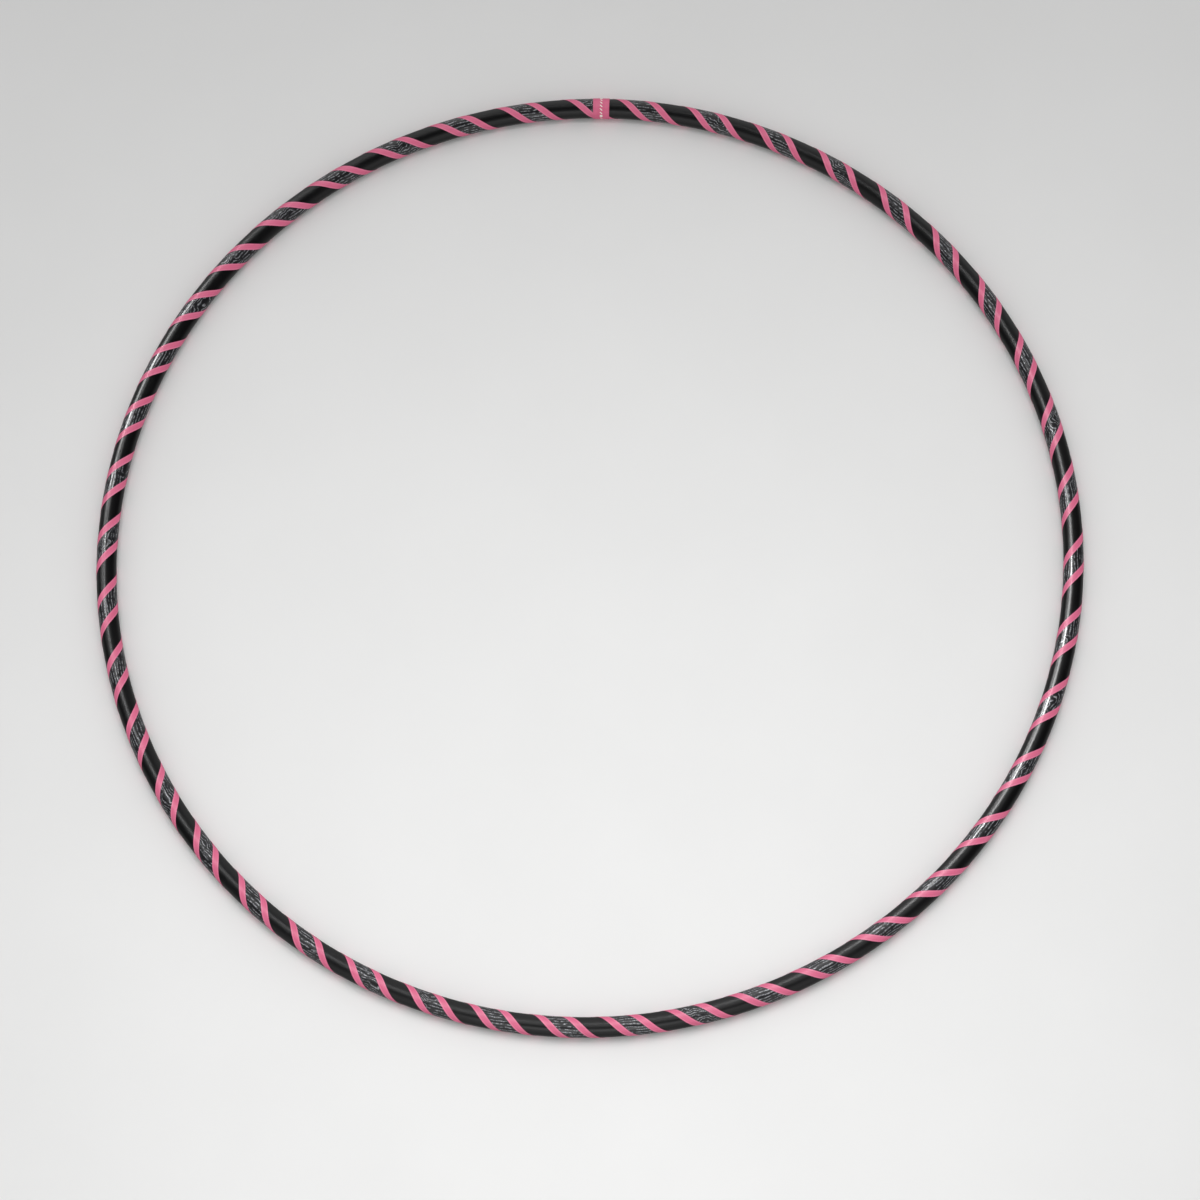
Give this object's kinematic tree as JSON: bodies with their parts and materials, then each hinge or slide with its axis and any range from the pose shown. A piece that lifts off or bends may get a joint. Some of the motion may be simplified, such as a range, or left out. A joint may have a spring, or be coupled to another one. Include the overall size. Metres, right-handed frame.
{
  "type": "rhythmic hoop",
  "caption": "Closed ring of round plastic tube, wrapped in an open spiral of crackle tape between two pinstripes, with a band over the riveted joint.",
  "frame": {"origin": "centre of the ring, on the plane that the ring lies on", "axes": "+Z along the ring's axis, away from the floor; +Y from the centre to the joint"},
  "size_m": [0.9387, 0.939, 0.0203],
  "materials": {
    "tube": "smooth glossy black polyethylene",
    "plug": "natural extruded polyethylene",
    "rivet": "bright, countersunk",
    "mandrel": "drawn wire, snapped off",
    "crackle": "dark foil tape with fine silvery crackle lines",
    "pinstripe": "satin pink vinyl tape",
    "band": "satin pink vinyl tape with small pale printed marks"
  },
  "bodies": {
    "root": {"hoop_tube": "tube", "connector_plug": "plug", "rivet_bodies": "rivet", "rivet_mandrels": "mandrel", "crackle_tape": "crackle", "pinstripe_leading": "pinstripe", "pinstripe_trailing": "pinstripe", "joint_band": "band"}
  },
  "joints": []
}
